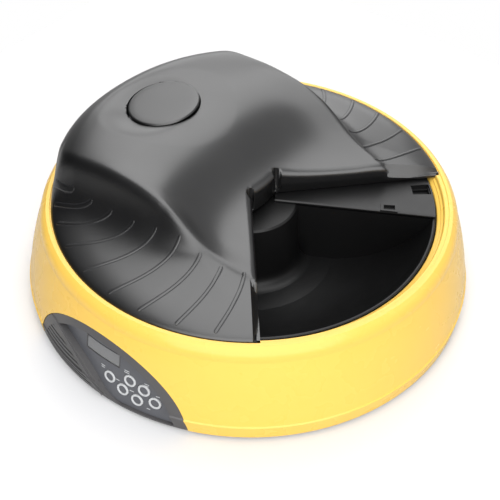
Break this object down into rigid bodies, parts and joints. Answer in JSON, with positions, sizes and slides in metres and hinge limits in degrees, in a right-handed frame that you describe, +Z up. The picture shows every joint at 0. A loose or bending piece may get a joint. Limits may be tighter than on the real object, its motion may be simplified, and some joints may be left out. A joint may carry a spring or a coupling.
{
  "type": "automatic pet feeder",
  "caption": "Round automatic pet feeder: yellow base with an arched control panel, a motor-turned compartment tray and a black wave-shaped lid with a wedge mouth.",
  "frame": {"origin": "on the tray's turning axis at floor level, the bottom centre of the bounding box", "axes": "+Z up along the tray's turning axis; the lid's mouth opens towards +X; the control panel faces -Y"},
  "size_m": [0.323, 0.3232, 0.1202],
  "materials": {
    "shell_yellow": "gloss",
    "lid_black": "satin",
    "tray_black": "fine satin",
    "base_black": "matte",
    "gearbox_black": "matte",
    "latch_black": "matte",
    "rubber": "matte",
    "screw_steel": "zinc plated",
    "axle_steel": "ground",
    "spring_steel": "drawn wire",
    "contact_steel": "nickel plated",
    "magnet_nickel": "nickel plated",
    "motor_can": "satin",
    "bush_brass": "machined",
    "gear_white": "moulded",
    "cell_wrap": "satin wrap",
    "sensor_black": "matte",
    "bezel_grey": "satin",
    "fascia_grey": "satin",
    "lcd_grey": "gloss",
    "lcd_frame": "matte",
    "board_green": "solder mask",
    "speaker_black": "matte",
    "button_pale": "satin"
  },
  "bodies": {
    "base": {"body_shell": "shell_yellow", "base_plate": "base_black", "rubber_feet": "rubber", "inner_deck": "base_black", "base_screws": "screw_steel", "batteries": "cell_wrap", "battery_contacts": "contact_steel", "gearbox_case": "gearbox_black", "gear_plate": "gearbox_black", "gearbox_cover": "gearbox_black", "gear_axles": "axle_steel", "spindle_bush": "bush_brass", "motor": "motor_can", "gearbox_screws": "screw_steel", "position_sensor": "sensor_black", "control_bezel": "bezel_grey", "control_fascia": "fascia_grey", "lcd_window": "lcd_grey", "lcd_module": "lcd_frame", "control_board": "board_green", "speaker": "speaker_black"},
    "tray": {"food_tray": "tray_black", "sector_plate": "tray_black", "drive_spindle": "gear_white", "output_gear": "gear_white", "index_magnets": "magnet_nickel"},
    "gear_stage_2": {"reduction_gear_2": "gear_white"},
    "gear_stage_1": {"reduction_gear_1": "gear_white"},
    "motor_rotor": {"motor_pinion": "bush_brass"},
    "lid": {"lid_shell": "lid_black", "latch_housing": "latch_black", "latch_screws": "screw_steel", "button_spring": "spring_steel"},
    "release_button": {"lid_button": "lid_black"},
    "catch": {"latch_bolt": "latch_black"},
    "door_1": {"battery_door_1": "base_black"},
    "door_2": {"battery_door_2": "base_black"},
    "key_1": {"button_1": "button_pale"},
    "key_2": {"button_2": "button_pale"},
    "key_3": {"button_3": "button_pale"},
    "key_4": {"button_4": "button_pale"},
    "key_5": {"button_5": "button_pale"},
    "key_6": {"button_6": "button_pale"}
  },
  "joints": [
    {"name": "tray_spin", "type": "hinge", "parent": "base", "child": "tray", "pos_m": [0, 0, 0], "axis": [0, 0, 1], "continuous": true},
    {"name": "gear_stage_2_spin", "type": "hinge", "parent": "base", "child": "gear_stage_2", "pos_m": [0, 0.018, 0], "axis": [0, 0, 1], "continuous": true},
    {"name": "gear_stage_1_spin", "type": "hinge", "parent": "base", "child": "gear_stage_1", "pos_m": [0.00835, 0.01215, 0], "axis": [0, 0, 1], "continuous": true},
    {"name": "motor_rotor_spin", "type": "hinge", "parent": "base", "child": "motor_rotor", "pos_m": [0.01013, 0.0021, 0], "axis": [0, 0, 1], "continuous": true},
    {"name": "lid_lift", "type": "slide", "parent": "base", "child": "lid", "axis": [0, 0, 1], "range_m": [0, 0.08]},
    {"name": "lid_button_press", "type": "slide", "parent": "lid", "child": "release_button", "axis": [0, 0, 1], "range_m": [-0.0025, 0], "stiffness_N_per_m": 500, "springref_m": 0.001, "deforming": ["button_spring"]},
    {"name": "catch_slide", "type": "slide", "parent": "lid", "child": "catch", "axis": [1, 0, 0], "range_m": [0, 0.0025]},
    {"name": "battery_door_1_lift_off", "type": "slide", "parent": "base", "child": "door_1", "axis": [0, 0, 1], "range_m": [-0.03, 0]},
    {"name": "battery_door_2_lift_off", "type": "slide", "parent": "base", "child": "door_2", "axis": [0, 0, 1], "range_m": [-0.03, 0]},
    {"name": "button_1_press", "type": "slide", "parent": "base", "child": "key_1", "axis": [-0.0497, 0.9804, -0.1908], "range_m": [0, 0.0008], "stiffness_N_per_m": 400, "springref_m": -0.0005},
    {"name": "button_2_press", "type": "slide", "parent": "base", "child": "key_2", "axis": [-0.1196, 0.9743, -0.1908], "range_m": [0, 0.0008], "stiffness_N_per_m": 400, "springref_m": -0.0005},
    {"name": "button_3_press", "type": "slide", "parent": "base", "child": "key_3", "axis": [-0.1907, 0.9629, -0.1908], "range_m": [0, 0.0008], "stiffness_N_per_m": 400, "springref_m": -0.0005},
    {"name": "button_4_press", "type": "slide", "parent": "base", "child": "key_4", "axis": [-0.1519, 0.9698, -0.1908], "range_m": [0, 0.0008], "stiffness_N_per_m": 400, "springref_m": -0.0005},
    {"name": "button_5_press", "type": "slide", "parent": "base", "child": "key_5", "axis": [-0.2191, 0.9569, -0.1908], "range_m": [0, 0.0008], "stiffness_N_per_m": 400, "springref_m": -0.0005},
    {"name": "button_6_press", "type": "slide", "parent": "base", "child": "key_6", "axis": [-0.2706, 0.9436, -0.1908], "range_m": [0, 0.0008], "stiffness_N_per_m": 400, "springref_m": -0.0005}
  ],
  "couplings": [
    {"joint": "gear_stage_2_spin", "follows": "tray_spin", "ratio": -5},
    {"joint": "gear_stage_1_spin", "follows": "tray_spin", "ratio": 12},
    {"joint": "motor_rotor_spin", "follows": "tray_spin", "ratio": -28.8},
    {"joint": "catch_slide", "follows": "lid_button_press", "ratio": -1}
  ]
}
